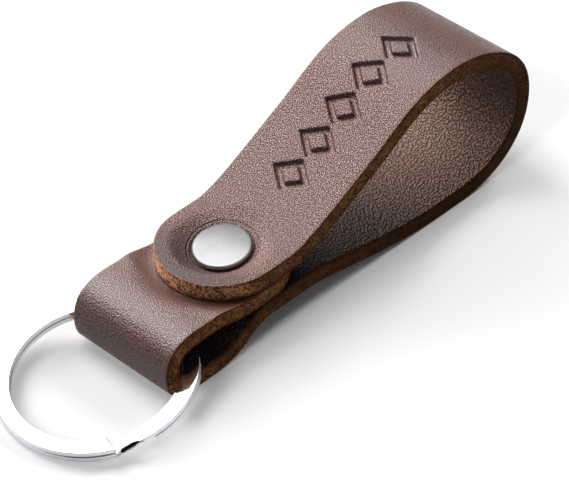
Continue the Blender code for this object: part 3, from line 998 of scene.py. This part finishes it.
    def make_world(self, context, settings):
        """An even room light. The lens sees it white, and metal sees walls with a dark foot."""
        world = bpy.data.worlds.new("studio_room")
        context.scene.world = world
        world.use_nodes = True
        nodes = Nodes(world.node_tree)
        path = nodes.add("ShaderNodeLightPath")
        way = nodes.parts(nodes.add("ShaderNodeTexCoord")["Generated"])["Z"]
        walls = nodes.remap(way, 0.14, 0.28, settings.wall_foot, settings.wall_light)
        mirrored = nodes.times(path["Is Glossy Ray"], walls)
        seen = nodes.calc("MAXIMUM", path["Is Camera Ray"], path["Is Transmission Ray"])
        any_seen = nodes.calc("MAXIMUM", seen, path["Is Glossy Ray"])
        unseen = nodes.times(nodes.minus(1.0, any_seen), settings.room_light)
        strength = nodes.plus(nodes.calc("MAXIMUM", seen, mirrored), unseen)
        nodes.fill(world.node_tree.nodes["Background"].inputs, {
            "Color": (1, 1, 1, 1), "Strength": strength})


class KEYRING_OT_strap(bpy.types.Operator):
    """Fold the leather strap and press the row of lozenges into it"""

    bl_idname = "keyring.strap"
    bl_label = "Leather Strap"

    def execute(self, context):
        settings = context.scene.keyring_strap
        strap = add_piece("folded_strap", strap_mesh(settings, context.scene.keyring_rivet))
        shape_with(strap, pressed_lozenges, {
            "Strap": "Geometry",
            "Count": settings.lozenge_count,
            "First": settings.lozenge_first / MM,
            "Pitch": settings.lozenge_pitch / MM,
            "Half Length": settings.lozenge_half_length / MM,
            "Half Width": settings.lozenge_half_width / MM,
            "Wall": 0.5,
            "Island": settings.lozenge_island,
            "Depth": settings.lozenge_depth / MM,
            "Grain Side": grain_material(settings),
            "Flesh Side": flesh_material(settings),
            "Cut Edge": cut_material(settings),
        })
        lit_pieces("leather_pieces").objects.link(strap)
        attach(strap, "strap")
        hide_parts("leather_strap")
        return {"FINISHED"}


class KEYRING_OT_rivet(bpy.types.Operator):
    """Turn the rivet's cap with its socket and its base with its pin"""

    bl_idname = "keyring.rivet"
    bl_label = "Rivet"

    def execute(self, context):
        settings = context.scene.keyring_rivet
        nickel = metal_material("rivet_satin_nickel", settings.metal_colour, (180.0, 5200.0),
                                (0.90, 1.06), (0.24, 0.28), 0.02, ("Cloud", 0.02 * MM, 0.25))
        disc = self.disc_profile(settings)
        socket, pin = settings.socket_radius, settings.pin_radius
        inner = socket - settings.socket_wall
        under = cap_high.z - settings.disc_thickness
        cap = [(radius, cap_high.z - drop) for radius, drop in disc] + [
            (socket, under), (socket, cap_low.z), (inner, cap_low.z), (inner, under), (0, under)]
        base = [(radius, base_low.z + drop) for radius, drop in disc] + [
            (pin, base_low.z + settings.disc_thickness), (pin, base_high.z), (0, base_high.z)]
        for name, profile, node in (("rivet_cap_disc", cap, "rivet_cap"),
                                    ("rivet_base_disc", base, "rivet_base")):
            piece = add_piece(name, self.turned_mesh(name, profile, nickel))
            if node == "rivet_cap":
                self.seat(piece.data, settings, under)
            lit_pieces("metal_pieces").objects.link(piece)
            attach(piece, "strap")
            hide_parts(node)
        return {"FINISHED"}

    def seat(self, mesh, settings, under):
        """Leans the cap's disc with the rising strand. Its socket stays upright."""
        slope, margin = math.tan(settings.cap_lean), 0.01 * MM
        for vertex in mesh.vertices:
            if vertex.co.z > under - margin:
                vertex.co.z += (vertex.co.x - rivet_x) * slope - settings.cap_sink

    def disc_profile(self, settings):
        """Radius and drop from the disc's outer face: a slight dome, a round rim, its side."""
        dome_steps, rim_steps, chamfer = 10, 6, 0.08 * MM
        dome, rim, thickness = settings.dome, settings.rim_round, settings.disc_thickness
        flat = cap_radius - rim
        points = [(flat * step / dome_steps, dome * (step / dome_steps) ** 2)
                  for step in range(dome_steps + 1)]
        for step in range(1, rim_steps + 1):
            angle = math.pi / 2 * step / rim_steps
            points.append((flat + rim * math.sin(angle), dome + rim * (1 - math.cos(angle))))
        return points + [(cap_radius, thickness - chamfer), (cap_radius - chamfer, thickness)]

    def turned_mesh(self, name, profile, material):
        """The profile turned round the rivet's axis, on which its two ends lie."""
        sides, sharp = 128, math.radians(40)
        turns = [2 * math.pi * side / sides for side in range(sides)]
        points = [(rivet_x, 0, profile[0][1])]
        points += [(rivet_x + radius * math.cos(angle), radius * math.sin(angle), z)
                   for radius, z in profile[1:-1] for angle in turns]
        points.append((rivet_x, 0, profile[-1][1]))
        circles = [[0] * sides]
        circles += (1 + np.arange(len(points) - 2).reshape(-1, sides)).tolist()
        circles.append([len(points) - 1] * sides)
        outward = -1 if profile[0][1] > profile[-1][1] else 1
        faces = []
        for near, far in zip(circles, circles[1:]):
            for side in range(sides):
                corners = (near[side], far[side], far[side - 1], near[side - 1])
                faces.append(list(dict.fromkeys(corners))[::outward])
        mesh = bpy.data.meshes.new(name)
        mesh.from_pydata(points, [], faces)
        mesh.shade_smooth()
        mesh.set_sharp_from_angle(angle=sharp)
        mesh.materials.append(material)
        return mesh


class KEYRING_OT_split_ring(bpy.types.Operator):
    """Wind the split ring and hang it in the small loop"""

    bl_idname = "keyring.split_ring"
    bl_label = "Split Ring"

    def execute(self, context):
        settings = context.scene.keyring_ring
        chrome = metal_material("ring_polished_chrome", settings.metal_colour, (220.0, 3000.0),
                                (0.94, 1.04), (0.05, 0.09), 0.05, ("Hair", 0.004 * MM, 0.3))
        ring = add_piece("wound_split_ring", bpy.data.meshes.new("wire"))
        shape_with(ring, split_ring_coils, {
            "Middle Radius": (ring_inner_radius + ring_outer_radius) / 2,
            "Coil Width": settings.coil_width,
            "Coil Thickness": settings.coil_thickness,
            "Coil Gap": settings.coil_gap,
            "Edge Round": settings.edge_round,
            "Coil End": settings.coil_end,
            "Ramp": settings.ramp,
            "Overlap": settings.overlap,
            "Path Points": 420,
            "Wire": chrome,
        })
        self.slope_ramp(ring.data, settings)
        self.round_ends(ring.data, settings)
        lean = Matrix.Rotation(-ring_tilt, 4, "Y")
        place = Matrix.Translation(swing_axis_at) @ lean
        ring.data.transform(place @ Matrix.Translation((-ring_pass_radius, 0, 0)))
        lit_pieces("metal_pieces").objects.link(ring)
        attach(ring, "ring")
        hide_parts("split_ring")
        return {"FINISHED"}

    def slope_ramp(self, mesh, settings):
        """Slants the upper coil's tip and slopes off the ramp's outer edge."""
        layer = (settings.coil_thickness + settings.coil_gap) / 2
        slant_pivot, slant_reach = 0.2, math.radians(14)
        fade_in, fade_out = 0.12, 0.3
        for vertex in mesh.vertices:
            x, y, z = vertex.co
            angle, radius = math.atan2(y, x), math.hypot(x, y)
            past_end = angle - settings.coil_end
            out = (radius - ring_inner_radius) / ring_width - slant_pivot
            near = max(1 - abs(past_end) / slant_reach, 0.0)
            slant = Matrix.Rotation(settings.tip_slant * out * near, 3, "Z")
            vertex.co = slant @ vertex.co
            share = past_end / settings.ramp
            middle = layer * (2 * share * share * (3 - 2 * share) - 1)
            if 0.02 < share < 1.0 and z > middle + 0.1 * settings.coil_thickness:
                slope = 1 - (ring_outer_radius - radius) / settings.ramp_bevel_width
                fade = min(share / fade_in, (1.0 - share) / fade_out, 1.0)
                vertex.co.z -= settings.ramp_bevel * min(max(slope, 0.0), 1.0) * fade

    def round_ends(self, mesh, settings):
        sharp = math.radians(60)
        shape = bmesh.new()
        shape.from_mesh(mesh)
        bmesh.ops.remove_doubles(shape, verts=shape.verts, dist=merge_distance)
        bmesh.ops.recalc_face_normals(shape, faces=shape.faces)
        ends = [edge for edge in shape.edges
                if edge.is_manifold and edge.calc_face_angle() > sharp]
        bmesh.ops.bevel(shape, geom=ends, offset=settings.end_round, segments=3, profile=0.5,
                        affect="EDGES")
        if shape.calc_volume(signed=True) < 0:
            bmesh.ops.reverse_faces(shape, faces=shape.faces)
        keep_smooth(shape, mesh)


operators = {
    "keyring_studio": (StudioSettings, KEYRING_OT_studio),
    "keyring_strap": (StrapSettings, KEYRING_OT_strap),
    "keyring_rivet": (RivetSettings, KEYRING_OT_rivet),
    "keyring_ring": (RingSettings, KEYRING_OT_split_ring),
}


class KEYRING_PT_pieces(bpy.types.Panel):
    bl_label = "Leather Keyring"
    bl_idname = "KEYRING_PT_pieces"
    bl_space_type = "VIEW_3D"
    bl_region_type = "UI"
    bl_category = "Keyring"

    def draw(self, context):
        for key, (group, operator) in operators.items():
            box = self.layout.box()
            box.operator(operator.bl_idname)
            for name in group.__annotations__:
                box.prop(getattr(context.scene, key), name)


classes = [item for pair in operators.values() for item in pair] + [KEYRING_PT_pieces]


def register():
    for item in classes:
        bpy.utils.register_class(item)
    for key, (group, operator) in operators.items():
        setattr(bpy.types.Scene, key, PointerProperty(type=group))


def unregister():
    for key in operators:
        delattr(bpy.types.Scene, key)
    for item in reversed(classes):
        bpy.utils.unregister_class(item)


def main():
    register()
    bpy.ops.keyring.studio()
    bpy.ops.keyring.strap()
    bpy.ops.keyring.rivet()
    bpy.ops.keyring.split_ring()


if __name__ == "__main__":
    main()
